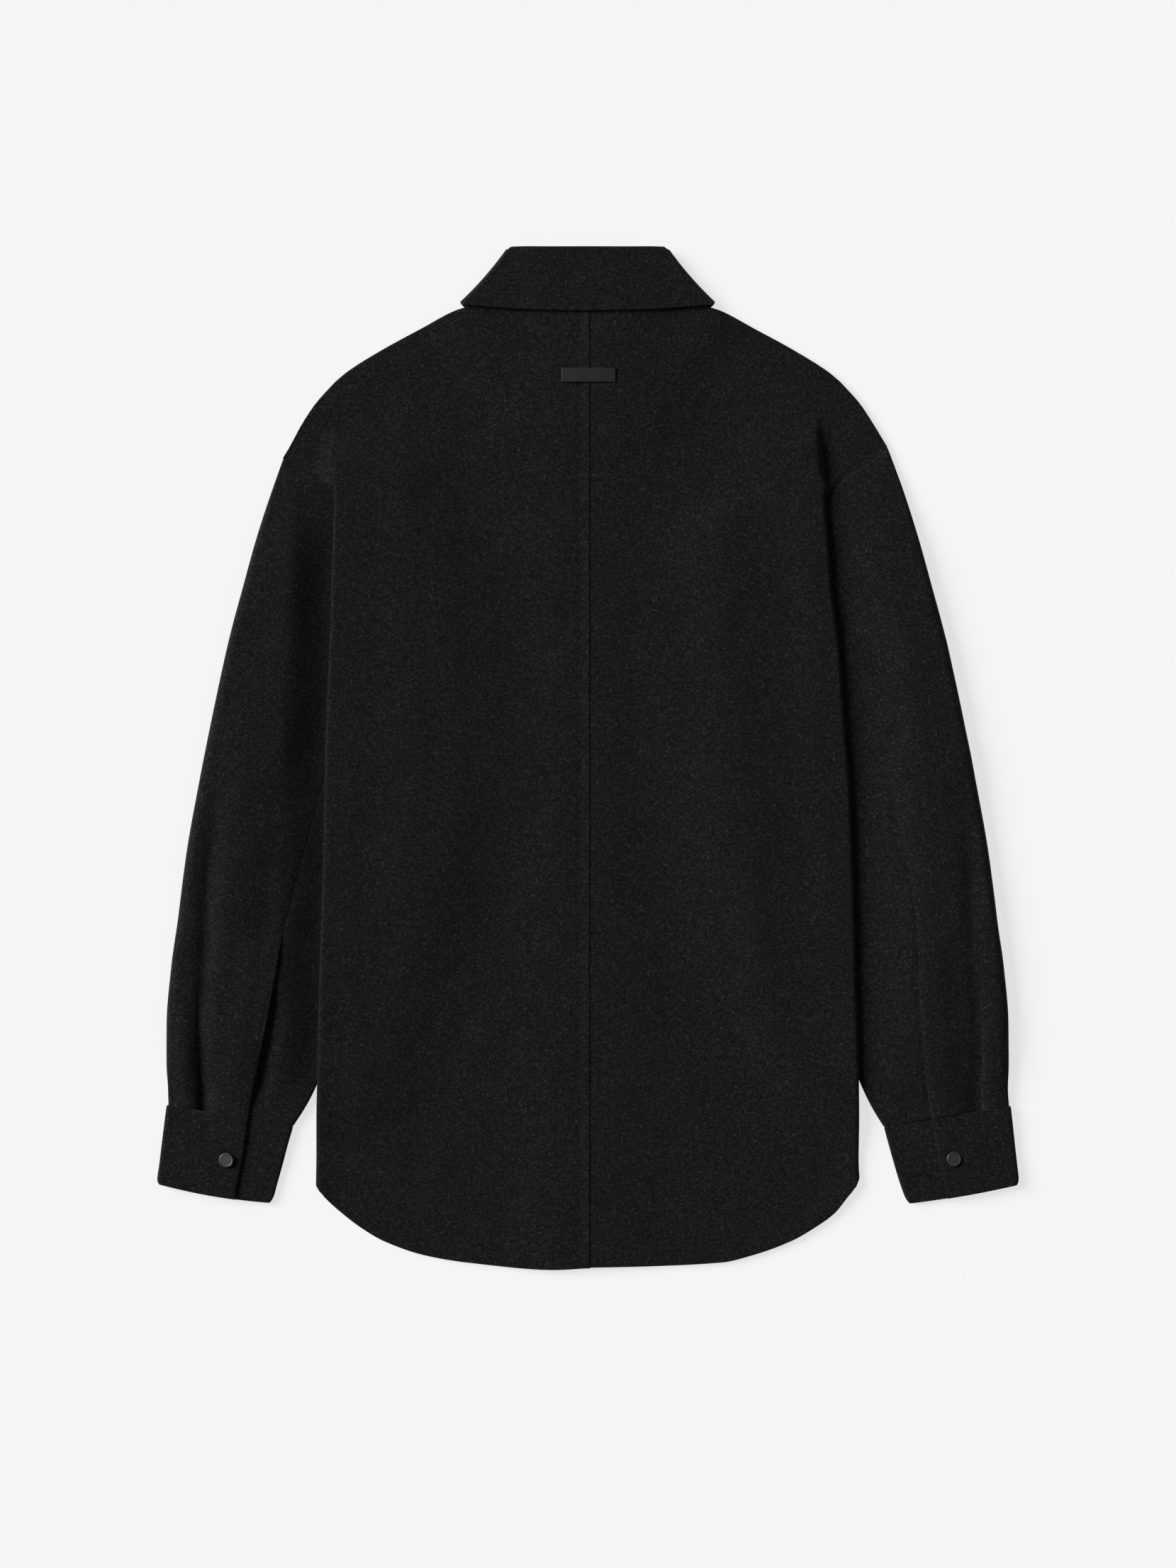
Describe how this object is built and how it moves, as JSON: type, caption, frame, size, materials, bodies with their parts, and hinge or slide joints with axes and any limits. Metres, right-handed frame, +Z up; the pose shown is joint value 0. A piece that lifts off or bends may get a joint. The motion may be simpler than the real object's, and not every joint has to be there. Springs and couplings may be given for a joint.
{
  "type": "shacket",
  "caption": "Dark wool overshirt laid flat, face down: turned-down collar, back tab, dropped shoulders, slit and pleated sleeves, snap cuffs, curved hem.",
  "frame": {"origin": "middle of the garment's outline, on the surface that it lies on", "axes": "+Y from the hem to the collar, +Z up out of the back, the wearer's left at -X"},
  "size_m": [0.7275, 0.866, 0.0143],
  "materials": {
    "wool": "matte",
    "cuff_wool": "matte",
    "tab": "satin",
    "snap": "satin"
  },
  "bodies": {
    "root": {"back_left": "wool", "back_right": "wool", "front_left": "wool", "front_right": "wool", "sleeve_left_outer": "wool", "sleeve_left_inner": "wool", "sleeve_right_outer": "wool", "sleeve_right_inner": "wool", "collar_fall": "wool", "collar_stand": "wool", "cuff_left": "cuff_wool", "cuff_right": "cuff_wool", "back_tab": "tab", "cuff_snap_left": "snap", "cuff_snap_right": "snap"}
  },
  "joints": []
}
